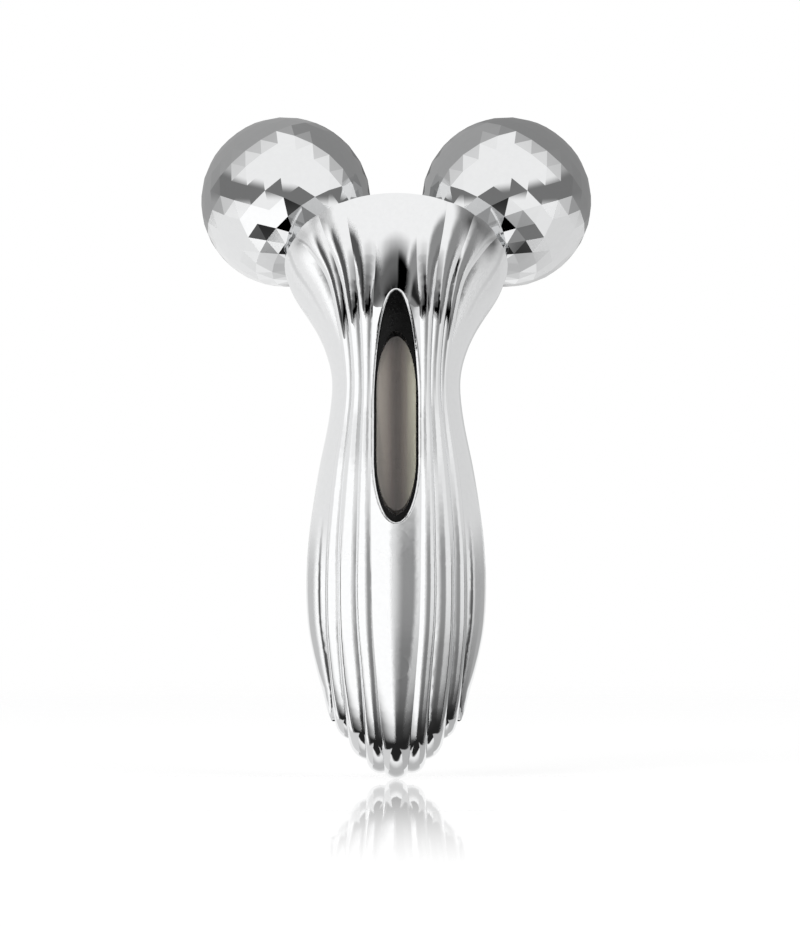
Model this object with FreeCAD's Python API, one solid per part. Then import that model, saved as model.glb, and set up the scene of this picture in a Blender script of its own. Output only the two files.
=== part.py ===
import FreeCAD, Part
import math
import os
from collections import namedtuple

from FreeCAD import Vector

# A facial roller: a fluted handle whose flared head carries two faceted balls on splayed axles.
# Millimetres. +Z runs up the handle from its tip, the window faces -Y and the balls stand to +Y.

# The handle's cross sections, from the mouth of the head down to the tip.
# Each section lies in a plane through a middle line along X at (shift, height).
# lean raises the plane's front and lowers its back, droop lowers both, and fullness squares the curve.
# valleys are the angles, from straight ahead, of the creases between the lobes.
# Their depth grows from flute, straight ahead, to outer_flute at the sides.
# The surface is lofted through these stations and through the sections blended between them.
Section = namedtuple("Section", "height shift lean droop half_width reach fullness flute outer_flute valleys")
HANDLE_STATIONS = [
    Section(121.0, -6.6, 40.3, 0, 26.3, 25.7, 1.0, 0.05, 0.50, (10.3, 27.3, 44.5, 66.0)),
    Section(116.7, -4.1, 38.8, 0, 24.7, 22.5, 1.0, 0.40, 1.30, (11.3, 27.0, 42.5, 58.0)),
    Section(111.3, -2.2, 34.8, 0, 21.5, 18.8, 1.0, 0.75, 1.20, (13.5, 27.5, 40.5, 52.0)),
    Section(105.0, -0.8, 27.0, 0, 18.2, 15.3, 1.0, 0.90, 1.00, (18.2, 30.5, 42.5, 53.8)),
    Section(98.6, -0.2, 15.0, 0, 15.9, 13.2, 1.0, 0.80, 0.80, (22.3, 32.9, 45.0, 56.5)),
    Section(92.5, 0.0, 0, 0, 15.15, 12.5, 1.0, 0.70, 0.70, (24.0, 33.7, 46.0, 56.0)),
    Section(84.0, 0.0, 0, 0, 16.1, 13.2, 1.0, 0.70, 0.70, (22.5, 33.0, 46.0, 57.0)),
    Section(75.0, 0.0, 0, 0, 17.95, 14.6, 1.0, 0.75, 0.75, (20.0, 30.5, 44.8, 57.0)),
    Section(66.0, 0.0, 0, 0, 19.5, 15.9, 1.0, 0.80, 0.80, (18.4, 29.0, 43.8, 56.0)),
    Section(55.5, 0.0, 0, 0, 20.85, 17.0, 1.0, 0.85, 0.85, (16.8, 27.7, 42.9, 55.0)),
    Section(44.7, 0.0, 0, 0, 21.3, 17.5, 1.0, 0.85, 0.85, (16.1, 27.5, 42.2, 54.8)),
    Section(35.0, 0.0, 0, 0, 20.7, 17.0, 1.0, 0.90, 0.90, (15.6, 27.3, 43.3, 56.5)),
    Section(25.8, 0.0, 0, 0, 18.85, 15.4, 1.05, 0.95, 0.95, (15.0, 27.8, 47.0, 61.0)),
    Section(21.1, 0.0, 0, 12, 17.5, 14.0, 1.15, 1.00, 1.00, (14.2, 28.4, 49.0, 66.0)),
    Section(18.2, 0.0, 0, 30, 16.75, 13.1, 1.35, 1.00, 1.00, (13.0, 28.7, 49.5, 69.5)),
    Section(16.2, 0.0, 0, 52, 16.2, 13.2, 1.65, 1.00, 1.00, (12.2, 28.7, 49.5, 72.5)),
    Section(15.1, 0.0, 0, 72, 15.8, 14.2, 1.95, 1.00, 1.00, (11.3, 28.8, 49.8, 75.5)),
    Section(14.4, 0.0, 0, 90, 15.5, 14.4, 2.20, 1.00, 1.00, (10.6, 29.1, 50.2, 78.0)),
]
SHELL_WALL = 2.6
SEAM_GAP = 0.06
RIM_TRIM = 0.02
SECTIONS_PER_STATION = 2
# The hollow ends in a blunt nose: (share of its width, share of the height taken off) at two steps.
NOSE_STEPS = ((0.75, 0.38), (0.35, 0.65))

# The balls, and the axles that carry them
BALL_DIAMETER = 40.5
BALL_GAP = 12.1
BALL_TO_COVER = 2.0
FACETS_AROUND = 26
FACET_ROWS = 14
FACET_CAP_LATITUDE = 81.0
BALL_SKIN = 3.0
BALL_MOUTH_DIAMETER = 15.0
AXLE_DIAMETER = 6.0
AXLE_SPLAY = 35.0
AXLE_RISE = 60.0
AXLE_BEHIND_MOUTH_CENTRE = 7.7
AXLE_ROOT_GAP = 5.0
AXLE_TIP_PAST_RING = 1.2
RUNNING_CLEARANCE = 0.05
FIT_CLEARANCE = 0.05
BEARING_DIAMETER = 12.0
BEARING_LENGTH = 21.0
BEARING_FLANGE = 1.5
CORE_FLAT_FROM_CENTRE = 15.0
STOP_RING_DIAMETER = 9.6
STOP_RING_THICKNESS = 0.9
STOP_RING_GROOVE = 0.6
STOP_RING_SLOT = 2.5
END_PLAY = 0.3

# The lid of the head, with what seals it
COVER_THICKNESS = 1.6
COVER_INSET = 0.6
COVER_FRONT_INSET = 2.4
COVER_PLUG_DEPTH = 2.0
COVER_EDGE_ROUND = 0.7
GASKET_WIDTH = 1.0
GASKET_THICKNESS = 0.6
GASKET_FROM_PLUG = 0.5
COLLAR_DIAMETER = 10.4
SEAL_WALL = 1.2
SEAL_LENGTH = 1.5

# The block that holds the axles, and its tail
BLOCK_TOP_DEPTH = 2.6
BLOCK_DEPTH = 13.0
BLOCK_WALL_GAP = 0.3
TAIL_HALF_WIDTH = 7.0
TAIL_THICKNESS = 3.0
TAIL_LAP = 13.0
SET_SCREW_DIAMETER = 3.0
SET_SCREW_LENGTH = 4.0
BLOCK_SCREW_RADIUS = 1.25
BLOCK_SCREW_SPACING = 6.0
BLOCK_SCREW_PAST_FRAME = 0.5

# The window and what lies in it
WINDOW_TOP_BELOW_MOUTH = 5.75
WINDOW_HALF_WIDTH = 5.05
WINDOW_TOP_RADIUS = 29.9
WINDOW_STRAIGHT = 9.4
WINDOW_FOOT_RADIUS = 14.9
WINDOW_EDGE_ROUND = 0.7
TRAY_GAP = 0.06
TRAY_SINK = 0.8
TRAY_WALL = 0.3
TRAY_FLOOR = 1.6
PANEL_TOP_MARGIN = 10.7
PANEL_FOOT_MARGIN = 2.55
PANEL_TOP_RADIUS = 12.8
PANEL_FOOT_RADIUS = 12.3
PANEL_THICKNESS = 0.8
PANEL_FRONT = -10.05
LENS_THICKNESS = 0.8
LENS_GAP = 0.05
LEAD_HOLE_X = 1.8
LEAD_HOLE_ABOVE_FOOT = 5.8

# The chassis plate and the circuit board
FRAME_FRONT = 0.6
FRAME_THICKNESS = 2.0
FRAME_HALF_WIDTH = 9.0
FRAME_NECK_LENGTH = 35.0
FRAME_EDGE = 5.2
POST_RADIUS = 3.0
FRAME_SCREW_RADIUS = 1.25
FRAME_SCREW_LENGTH = 9.0
BOARD_HALF_WIDTH = 8.5
BOARD_FOOT_HEIGHT = 31.5
BOARD_LENGTH = 20.5
BOARD_THICKNESS = 1.6
BOARD_STANDOFF = 2.1
BOARD_SCREW_INSET = 2.2
BOARD_SCREW_RADIUS = 0.9
CHIP_SIZE = 5.0
CHIP_HEIGHT = 1.2
CAN_RADIUS = 1.9
CAN_HEIGHT = 4.0
CAN_FROM_MIDDLE = 5.8
SCREW_HEAD_SPREAD = 1.9
SCREW_HEAD_HEIGHT = 1.2
SCREW_SOCKET = 0.6
LEAD_RADIUS = 0.5
LEAD_BEND_SHARE = 0.45
CONTACT_FOOT = 5.0
CONTACT_WIDTH = 4.0
CONTACT_THICKNESS = 0.3
CONTACT_GAP = 0.2

FRONT = -1
BACK = 1
LEFT = -1
RIGHT = 1
POINTS_PER_LOBE = 5
ALONG_X = Vector(1, 0, 0)
ALONG_Y = Vector(0, 1, 0)
TOWARD_FRONT = ALONG_Y * -1
UPWARD = Vector(0, 0, 1)
FAR = 200.0

MOUTH = HANDLE_STATIONS[0]
MOUTH_LEAN = math.radians(MOUTH.lean)
MOUTH_CENTRE = Vector(0, MOUTH.shift, MOUTH.height)
MOUTH_NORMAL = Vector(0, math.sin(MOUTH_LEAN), math.cos(MOUTH_LEAN))
MOUTH_UP = Vector(0, -math.cos(MOUTH_LEAN), math.sin(MOUTH_LEAN))

BALL_RADIUS = BALL_DIAMETER / 2
AXLE_RADIUS = AXLE_DIAMETER / 2
SPLAY = math.radians(AXLE_SPLAY)
RISE = math.radians(AXLE_RISE)
BISECTOR = Vector(0, math.cos(RISE), math.sin(RISE))
BALL_REACH = (BALL_RADIUS + COVER_THICKNESS + BALL_TO_COVER) / BISECTOR.dot(MOUTH_NORMAL)
BALL_MIDDLE = MOUTH_CENTRE - MOUTH_UP * AXLE_BEHIND_MOUTH_CENTRE + BISECTOR * BALL_REACH
BALL_OFFSET = (BALL_DIAMETER + BALL_GAP) / 2

# Heights that follow from the board, the frame's neck and the mouth
FRAME_BACK = FRAME_FRONT + FRAME_THICKNESS
BOARD_TOP_HEIGHT = BOARD_FOOT_HEIGHT + BOARD_LENGTH
POST_FROM_BOARD = 1.5 * POST_RADIUS
FRONT_POST_HEIGHTS = (BOARD_FOOT_HEIGHT - POST_FROM_BOARD, BOARD_TOP_HEIGHT + POST_FROM_BOARD)
FRAME_FOOT_HEIGHT = FRONT_POST_HEIGHTS[0] - FRAME_EDGE
FRAME_SHOULDER_HEIGHT = FRONT_POST_HEIGHTS[1] + FRAME_EDGE
FRAME_TOP_HEIGHT = FRAME_SHOULDER_HEIGHT + FRAME_NECK_LENGTH
BACK_POST_HEIGHTS = (BOARD_FOOT_HEIGHT + BOARD_LENGTH / 2, FRAME_SHOULDER_HEIGHT + FRAME_EDGE)
TAIL_FOOT_HEIGHT = FRAME_TOP_HEIGHT - TAIL_LAP
TAIL_MIDDLE_HEIGHT = FRAME_TOP_HEIGHT - TAIL_LAP / 2
BLOCK_SCREW_HEIGHTS = (
    TAIL_MIDDLE_HEIGHT - BLOCK_SCREW_SPACING / 2,
    TAIL_MIDDLE_HEIGHT + BLOCK_SCREW_SPACING / 2,
)
BLOCK_SCREW_LENGTH = TAIL_THICKNESS + FRAME_THICKNESS + BLOCK_SCREW_PAST_FRAME
BOARD_BACK = FRAME_FRONT - BOARD_STANDOFF
BOARD_FACE = BOARD_BACK - BOARD_THICKNESS
BOARD_SCREW_PLACES = [
    (side * (BOARD_HALF_WIDTH - BOARD_SCREW_INSET), height)
    for side in (LEFT, RIGHT)
    for height in (BOARD_FOOT_HEIGHT + BOARD_SCREW_INSET, BOARD_TOP_HEIGHT - BOARD_SCREW_INSET)
]
LEAD_ON_BOARD = BOARD_FACE - 1.1 * LEAD_RADIUS
LEAD_BESIDE_TAIL = TAIL_HALF_WIDTH + 1.1 * LEAD_RADIUS
TAIL_MIDDLE_DEPTH = FRAME_BACK + TAIL_THICKNESS / 2
PANEL_BACK = PANEL_FRONT + PANEL_THICKNESS
LENS_BACK = PANEL_FRONT - LENS_GAP
LENS_FRONT = LENS_BACK - LENS_THICKNESS
TRAY_BACK = PANEL_BACK + TRAY_FLOOR

# Upright ovals: a half ellipse at the top and at the foot, with straight sides between them
Oval = namedtuple("Oval", "foot top foot_radius top_radius half_width")
WINDOW_TOP = MOUTH.height - WINDOW_TOP_BELOW_MOUTH
WINDOW_FOOT = WINDOW_TOP - WINDOW_TOP_RADIUS - WINDOW_STRAIGHT - WINDOW_FOOT_RADIUS
WINDOW = Oval(WINDOW_FOOT, WINDOW_TOP, WINDOW_FOOT_RADIUS, WINDOW_TOP_RADIUS, WINDOW_HALF_WIDTH)
PANEL = Oval(
    WINDOW_FOOT + PANEL_FOOT_MARGIN, WINDOW_TOP - PANEL_TOP_MARGIN, PANEL_FOOT_RADIUS, PANEL_TOP_RADIUS,
    WINDOW_HALF_WIDTH - TRAY_GAP - TRAY_WALL - FIT_CLEARANCE,
)
LEAD_HOLE_HEIGHT = PANEL.foot + LEAD_HOLE_ABOVE_FOOT


def blend(a, b, c, d, share):
    """The smooth curve through four even values, a share of the way from the second to the third."""
    square = 2 * a - 5 * b + 4 * c - d
    cube = 3 * b - a - 3 * c + d
    return b + 0.5 * share * (c - a + share * (square + share * cube))


def between(index, share):
    """The section a share of the way from one station to the next."""
    last = len(HANDLE_STATIONS) - 1
    four = [HANDLE_STATIONS[min(max(i, 0), last)] for i in range(index - 1, index + 3)]
    numbers = [blend(*values, share) for values in zip(*(station[:-1] for station in four))]
    valleys = [blend(*values, share) for values in zip(*(station.valleys for station in four))]
    return Section(*numbers, tuple(valleys))


def blended_sections():
    sections = []
    for index in range(len(HANDLE_STATIONS) - 1):
        sections += [between(index, step / SECTIONS_PER_STATION) for step in range(SECTIONS_PER_STATION)]
    return sections + [HANDLE_STATIONS[-1]]


def plane_point(section, side, across, reach):
    """The point that lies across the middle line and reach away from it, on the front or the back."""
    rise = math.radians(-side * section.lean - section.droop)
    y = section.shift + side * reach * math.cos(rise)
    z = section.height + reach * math.sin(rise)
    return Vector(across, y, z)


def crest(section, degrees):
    """A point of the curve that the lobes' crests touch, as (across, reach)."""
    angle = math.radians(degrees)
    return section.half_width * math.sin(angle), section.reach * math.cos(angle) ** section.fullness


def valley(section, degrees):
    """The crest curve's point at an angle, sunk by the flute's depth."""
    across, reach = crest(section, degrees)
    outer_share = math.sin(math.radians(degrees)) ** 2
    depth = section.flute + outer_share * (section.outer_flute - section.flute)
    slope_x = across / section.half_width ** 2
    slope_r = reach / section.reach ** 2
    length = math.hypot(slope_x, slope_r)
    return across - depth * slope_x / length, reach - depth * slope_r / length


def arc_points(start, middle, end):
    """Even points along the arc through three (across, reach) points."""
    arc = Part.Arc(*(Vector(a, r, 0) for a, r in (start, middle, end)))
    return [(p.x, p.y) for p in arc.toShape().discretize(POINTS_PER_LOBE)]


def side_band(section):
    """The smooth band from the middle line to the outermost valley, square to the middle line."""
    across, reach = valley(section, section.valleys[-1])
    wide = section.half_width
    centre = (wide ** 2 - across ** 2 - reach ** 2) / (2 * (wide - across))
    radius = wide - centre
    step = math.atan2(reach, across - centre) / (POINTS_PER_LOBE - 1)
    turns = [step * i for i in range(POINTS_PER_LOBE)]
    return [(centre + radius * math.cos(t), radius * math.sin(t)) for t in turns]


def lobes(section):
    """The fluted half section, from the right middle line to the left, as one point list per lobe."""
    angles = section.valleys
    right = [side_band(section)]
    for outer, inner in zip(reversed(angles[1:]), reversed(angles[:-1])):
        middle = crest(section, (outer + inner) / 2)
        right.append(arc_points(valley(section, outer), middle, valley(section, inner)))
    left = [[(-a, r) for a, r in reversed(lobe)] for lobe in reversed(right)]
    first, reach = valley(section, angles[0])
    centre = arc_points((first, reach), crest(section, 0), (-first, reach))
    return right + [centre] + left


def fluted_wire(section, side):
    edges = []
    for lobe in lobes(section):
        curve = Part.BSplineCurve()
        points = [plane_point(section, side, a, r) for a, r in lobe]
        curve.interpolate(Points=points, Parameters=list(range(POINTS_PER_LOBE)))
        edges.append(curve.toShape())
    return Part.Wire(edges)


def open_edges(skin):
    """The edges that bound a skin: those at its mouth, those at its tip, and its two sides."""
    uses = {}
    for face in skin.Faces:
        for edge in face.Edges:
            uses.setdefault(edge.hashCode(), []).append(edge)
    rim = [edges[0] for edges in uses.values() if len(edges) == 1]
    middle = MOUTH.height / 2
    top = [edge for edge in rim if all(v.Point.z > middle for v in edge.Vertexes)]
    bottom = [edge for edge in rim if all(v.Point.z < middle for v in edge.Vertexes)]
    sides = [edge for edge in rim if edge not in top and edge not in bottom]
    return top, bottom, sides


def closed_by_line(edges):
    """A flat face inside a chain of edges and the straight line between its ends."""
    points = [vertex.Point for edge in edges for vertex in edge.Vertexes]
    left = min(points, key=lambda p: p.x)
    right = max(points, key=lambda p: p.x)
    chain = Part.__sortEdges__(edges + [Part.makeLine(left, right)])
    return Part.Face(Part.Wire(chain))


def fluted_half(side, sink=0.0):
    """One solid half of the handle, sunk all over, split from the other along the middle lines."""
    wires = []
    for section in blended_sections():
        sunk = section._replace(half_width=section.half_width - sink, reach=section.reach - sink)
        wires.append(fluted_wire(sunk, side))
    skin = Part.makeLoft(wires, False, False)
    top, bottom, sides = open_edges(skin)
    inner = Part.makeRuledSurface(*sides)
    shell = Part.makeShell(skin.Faces + inner.Faces + [closed_by_line(top), closed_by_line(bottom)])
    shell.sewShape()
    return Part.makeSolid(shell)


def ellipse_wire(centre, normal, long_axis, long_radius, short_radius):
    """An ellipse in the plane square to normal, long_radius along long_axis."""
    across = normal.cross(long_axis)
    if long_radius < short_radius:
        long_axis, across = across, long_axis
        long_radius, short_radius = short_radius, long_radius
    ellipse = Part.Ellipse(centre + long_axis * long_radius, centre + across * short_radius, centre)
    return Part.Wire([ellipse.toShape()])


def ellipse_bar(centre, normal, long_axis, long_radius, short_radius, length):
    """An elliptical bar that runs from centre along normal."""
    face = Part.Face(ellipse_wire(centre, normal, long_axis, long_radius, short_radius))
    return face.extrude(normal * length)


def inset(points, index, direction, wall):
    """How far along direction a wall's inner face lies from points[index] of a sloping outline."""
    before = points[max(index - 1, 0)]
    after = points[min(index + 1, len(points) - 1)]
    slope = (after - before).normalize()
    return wall / slope.cross(direction).Length


def cavity_ellipses(wall):
    """The hollow's ellipses, as (centre, normal, up, up radius, half width), from the mouth to the nose."""
    level = [s for s in HANDLE_STATIONS if s.droop == 0]
    fronts = [plane_point(s, FRONT, 0, s.reach) for s in level]
    backs = [plane_point(s, BACK, 0, s.reach) for s in level]
    sides = [Vector(s.half_width, s.shift, s.height) for s in level]
    ellipses = []
    for i, section in enumerate(level):
        lean = math.radians(section.lean)
        up = Vector(0, -math.cos(lean), math.sin(lean))
        normal = Vector(0, math.sin(lean), math.cos(lean))
        front = fronts[i] - up * inset(fronts, i, up, wall)
        back = backs[i] + up * inset(backs, i, up, wall)
        half_width = section.half_width - inset(sides, i, ALONG_X, wall)
        ellipses.append(((front + back) / 2, normal, up, (front - back).Length / 2, half_width))
    return ellipses


def cavity(wall):
    """The hollow that runs from the mouth down into the handle's nose."""
    ellipses = cavity_ellipses(wall)
    wires = [ellipse_wire(c, n, u, long, short) for c, n, u, long, short in ellipses]
    centre, normal, up, long, short = ellipses[-1]
    for share, drop in NOSE_STEPS:
        lower = Vector(0, 0, centre.z * (1 - drop))
        wires.append(ellipse_wire(lower, normal, up, long * share, short * share))
    return Part.makeLoft(wires, True, False)


def rod(start, direction, radius, length):
    return Part.makeCylinder(radius, length, start, direction)


def tube(start, direction, outer, inner, length):
    return rod(start, direction, outer, length).cut(rod(start, direction, inner, length))


def box(x, y, z):
    """A box between pairs of limits along X, Y and Z."""
    return Part.makeBox(x[1] - x[0], y[1] - y[0], z[1] - z[0], Vector(x[0], y[0], z[0]))


def above_plane(point, normal):
    """A large block on the side of a plane that its normal points to."""
    block = Part.makeBox(2 * FAR, 2 * FAR, FAR, Vector(-FAR, -FAR, 0))
    block.Placement = FreeCAD.Placement(point, FreeCAD.Rotation(Vector(0, 0, 1), normal))
    return block


def screw(seat, direction, shank_radius, shank_length):
    """A pan-head screw whose head rests on its seat and whose shank runs along direction."""
    head_height = shank_radius * SCREW_HEAD_HEIGHT
    top = seat - direction * head_height
    head = rod(top, direction, shank_radius * SCREW_HEAD_SPREAD, head_height)
    socket = rod(top, direction, shank_radius * SCREW_SOCKET, head_height / 2)
    return head.cut(socket).fuse(rod(seat, direction, shank_radius, shank_length)).removeSplitter()


def lead(points):
    """A round wire through hand-picked points, with an arc at each bend."""
    edges = []
    start = points[0]
    for before, corner, after in zip(points, points[1:], points[2:]):
        inward = (before - corner).normalize()
        outward = (after - corner).normalize()
        run = LEAD_BEND_SHARE * min((before - corner).Length, (after - corner).Length)
        first = corner + inward * run
        last = corner + outward * run
        half_turn = (math.pi - inward.getAngle(outward)) / 2
        radius = run / math.tan(half_turn)
        to_centre = (inward + outward).normalize()
        middle = corner + to_centre * (radius / math.cos(half_turn) - radius)
        edges.append(Part.makeLine(start, first))
        edges.append(Part.Arc(first, middle, last).toShape())
        start = last
    edges.append(Part.makeLine(start, points[-1]))
    route = Part.Wire(edges)
    ring = Part.Wire([Part.makeCircle(LEAD_RADIUS, points[0], points[1] - points[0])])
    return route.makePipeShell([ring], True, False)


# The axles and the balls
def ball_centre(side):
    return BALL_MIDDLE + ALONG_X * (side * BALL_OFFSET)


def axle_direction(side):
    """The way that an axle points, out of the head and into its ball."""
    return ALONG_X * (side * math.sin(SPLAY)) + BISECTOR * math.cos(SPLAY)


def on_axle(side, distance):
    """The point of an axle's line at a distance past its ball's centre."""
    return ball_centre(side) + axle_direction(side) * distance


def along_axle(side, start, end, radius):
    return rod(on_axle(side, start), axle_direction(side), radius, end - start)


# Places along an axle, measured from the ball's centre
BALL_ABOVE_MOUTH = BALL_MIDDLE.sub(MOUTH_CENTRE).dot(MOUTH_NORMAL)
COVER_FACE_ON_AXLE = -BALL_ABOVE_MOUTH / axle_direction(RIGHT).dot(MOUTH_NORMAL)
AXLES_MEET = -BALL_OFFSET / math.sin(SPLAY)
AXLE_ROOT = AXLES_MEET + (AXLE_RADIUS * math.cos(SPLAY) + AXLE_ROOT_GAP / 2) / math.sin(SPLAY)
BEARING_TOP = -CORE_FLAT_FROM_CENTRE + BEARING_LENGTH
STOP_RING_AT = BEARING_TOP + END_PLAY
GROOVE_END = STOP_RING_AT + STOP_RING_THICKNESS + 2 * FIT_CLEARANCE
AXLE_TIP = GROOVE_END + AXLE_TIP_PAST_RING
FLANGE_FACE = -CORE_FLAT_FROM_CENTRE - BEARING_FLANGE
BORE_RADIUS = AXLE_RADIUS + RUNNING_CLEARANCE
GROOVE_RADIUS = AXLE_RADIUS - STOP_RING_GROOVE
SEAL_RADIUS = AXLE_RADIUS + SEAL_WALL
AXLE_TO_NORMAL = axle_direction(RIGHT).getAngle(MOUTH_NORMAL)
COLLAR_DIP = SEAL_RADIUS * math.tan(AXLE_TO_NORMAL) - COVER_THICKNESS / math.cos(AXLE_TO_NORMAL)
SEAL_TOP = COVER_FACE_ON_AXLE - COLLAR_DIP - FIT_CLEARANCE
SEAL_FOOT = SEAL_TOP - SEAL_LENGTH


def axle(side):
    bar = along_axle(side, AXLE_ROOT, AXLE_TIP, AXLE_RADIUS)
    groove = along_axle(side, STOP_RING_AT, GROOVE_END, AXLE_DIAMETER)
    return bar.cut(groove.cut(along_axle(side, STOP_RING_AT, GROOVE_END, GROOVE_RADIUS)))


def stop_ring(side):
    start = STOP_RING_AT + FIT_CLEARANCE
    end = start + STOP_RING_THICKNESS
    ring = along_axle(side, start, end, STOP_RING_DIAMETER / 2)
    ring = ring.cut(along_axle(side, start, end, GROOVE_RADIUS + FIT_CLEARANCE))
    slot = Part.makeBox(FAR, STOP_RING_SLOT, FAR, Vector(0, -STOP_RING_SLOT / 2, -FAR / 2))
    slot.Placement = FreeCAD.Placement(
        on_axle(side, start), FreeCAD.Rotation(Vector(0, 0, 1), axle_direction(side))
    )
    return ring.cut(slot)


def axle_collar(side):
    """The sleeve that covers the axle from the lid to the ball, with a spigot in the lid's hole."""
    top = FLANGE_FACE - END_PLAY
    sleeve = along_axle(side, AXLE_ROOT, top, COLLAR_DIAMETER / 2)
    sleeve = sleeve.common(above_plane(MOUTH_CENTRE + MOUTH_NORMAL * COVER_THICKNESS, MOUTH_NORMAL))
    sleeve = sleeve.fuse(along_axle(side, SEAL_TOP + FIT_CLEARANCE, top, SEAL_RADIUS))
    return sleeve.cut(along_axle(side, AXLE_ROOT, AXLE_TIP, AXLE_RADIUS + FIT_CLEARANCE))


def axle_seal(side):
    ring = along_axle(side, SEAL_FOOT, SEAL_TOP, SEAL_RADIUS)
    return ring.cut(along_axle(side, AXLE_ROOT, AXLE_TIP, AXLE_RADIUS + FIT_CLEARANCE / 2))


def ball_bearing(side):
    sleeve = along_axle(side, -CORE_FLAT_FROM_CENTRE, BEARING_TOP, BEARING_DIAMETER / 2 - FIT_CLEARANCE)
    flange = along_axle(
        side, FLANGE_FACE, -CORE_FLAT_FROM_CENTRE, BALL_MOUTH_DIAMETER / 2 - 2 * FIT_CLEARANCE
    )
    bore = along_axle(side, FLANGE_FACE, BEARING_TOP, BORE_RADIUS)
    return sleeve.fuse(flange).cut(bore).removeSplitter()


def ball_core(side):
    """The moulded ball inside the skin, flat where the bearing's flange seats, with a blind bore."""
    ball = Part.makeSphere(BALL_RADIUS - BALL_SKIN - FIT_CLEARANCE, ball_centre(side))
    ball = ball.common(above_plane(on_axle(side, -CORE_FLAT_FROM_CENTRE), axle_direction(side)))
    bore_end = AXLE_TIP + AXLE_TIP_PAST_RING
    return ball.cut(along_axle(side, -BALL_RADIUS, bore_end, BEARING_DIAMETER / 2))


def faceted_ball(side):
    """Rows of flat triangles around the axle, between rings that are turned half a facet in turn."""
    axis = axle_direction(side)
    across = axis.cross(ALONG_Y).normalize()
    third = axis.cross(across)
    rings = []
    for row in range(FACET_ROWS + 1):
        latitude = math.radians(FACET_CAP_LATITUDE * (2 * row / FACET_ROWS - 1))
        centre = ball_centre(side) + axis * (BALL_RADIUS * math.sin(latitude))
        ring = []
        for i in range(FACETS_AROUND):
            turn = 2 * math.pi * (i + 0.5 * (row % 2)) / FACETS_AROUND
            spoke = across * math.cos(turn) + third * math.sin(turn)
            ring.append(centre + spoke * (BALL_RADIUS * math.cos(latitude)))
        rings.append(ring)
    faces = [rings[0], rings[-1]]
    for row, (low, high) in enumerate(zip(rings, rings[1:])):
        for i in range(FACETS_AROUND):
            after = (i + 1) % FACETS_AROUND
            above = (i + row % 2) % FACETS_AROUND
            below = (i + 1 - row % 2) % FACETS_AROUND
            faces.append([low[i], low[after], high[above]])
            faces.append([high[i], high[after], low[below]])
    flat = [Part.Face(Part.makePolygon(corners + corners[:1])) for corners in faces]
    shell = Part.makeShell(flat)
    shell.sewShape()
    return Part.makeSolid(shell)


def ball_shell(side):
    hollow = Part.makeSphere(BALL_RADIUS - BALL_SKIN, ball_centre(side))
    mouth = along_axle(side, -2 * BALL_RADIUS, 0, BALL_MOUTH_DIAMETER / 2)
    return faceted_ball(side).cut(hollow.fuse(mouth))


# The head's lid, its gasket and the block that holds the axles
def mouth_opening(grow):
    """The hollow's ellipse in the mouth, grown all round."""
    centre, normal, up, long, short = cavity_ellipses(SHELL_WALL)[0]
    return centre, normal, up, long + grow, short + grow


def opening_bar(grow, start, length):
    centre, normal, up, long, short = mouth_opening(grow)
    return ellipse_bar(centre + normal * start, normal, up, long, short, length)


def gasket_ring(side_gap, thickness):
    outer = opening_bar(GASKET_FROM_PLUG + GASKET_WIDTH + side_gap, 0, thickness)
    return outer.cut(opening_bar(GASKET_FROM_PLUG - side_gap, 0, thickness))


def cavity_slice(top_depth, foot_depth):
    """What fills the hollow, with a small gap all round, between two depths under the mouth."""
    filling = cavity(SHELL_WALL + BLOCK_WALL_GAP)
    filling = filling.common(above_plane(MOUTH_CENTRE - MOUTH_NORMAL * foot_depth, MOUTH_NORMAL))
    return filling.cut(above_plane(MOUTH_CENTRE - MOUTH_NORMAL * top_depth, MOUTH_NORMAL))


def head_cover():
    """A rounded plate, set back further behind the front rim, with a plug that fills the mouth."""
    set_back = (COVER_FRONT_INSET - COVER_INSET) / 2
    plate = ellipse_bar(
        MOUTH_CENTRE - MOUTH_UP * set_back, MOUTH_NORMAL, MOUTH_UP,
        MOUTH.reach - COVER_INSET - set_back, MOUTH.half_width - COVER_INSET, COVER_THICKNESS,
    )
    top_edge = max(plate.Edges, key=lambda edge: edge.CenterOfMass.dot(MOUTH_NORMAL))
    plate = plate.makeFillet(min(COVER_EDGE_ROUND, COVER_THICKNESS / 2), [top_edge])
    lid = plate.fuse(cavity_slice(0, COVER_PLUG_DEPTH))
    lid = lid.cut(gasket_ring(FIT_CLEARANCE, GASKET_THICKNESS))
    for side in (LEFT, RIGHT):
        hole = SEAL_RADIUS + FIT_CLEARANCE
        lid = lid.cut(along_axle(side, AXLE_ROOT, FLANGE_FACE, hole))
        start, away = set_screw_line(side)
        room = SET_SCREW_DIAMETER / 2 + BLOCK_WALL_GAP
        lid = lid.cut(rod(start, away, room, SET_SCREW_LENGTH + BLOCK_WALL_GAP))
    return lid


def cover_gasket():
    return gasket_ring(0, GASKET_THICKNESS - FIT_CLEARANCE)


def set_screw_line(side):
    """Where a set screw starts, at its axle's root, and the way it points out to the back."""
    toward = axle_direction(side)
    away = MOUTH_UP * -1
    away = (away - toward * away.dot(toward)).normalize()
    middle = (AXLE_ROOT + SEAL_FOOT) / 2
    return on_axle(side, middle) + away * (AXLE_RADIUS + FIT_CLEARANCE), away


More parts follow.
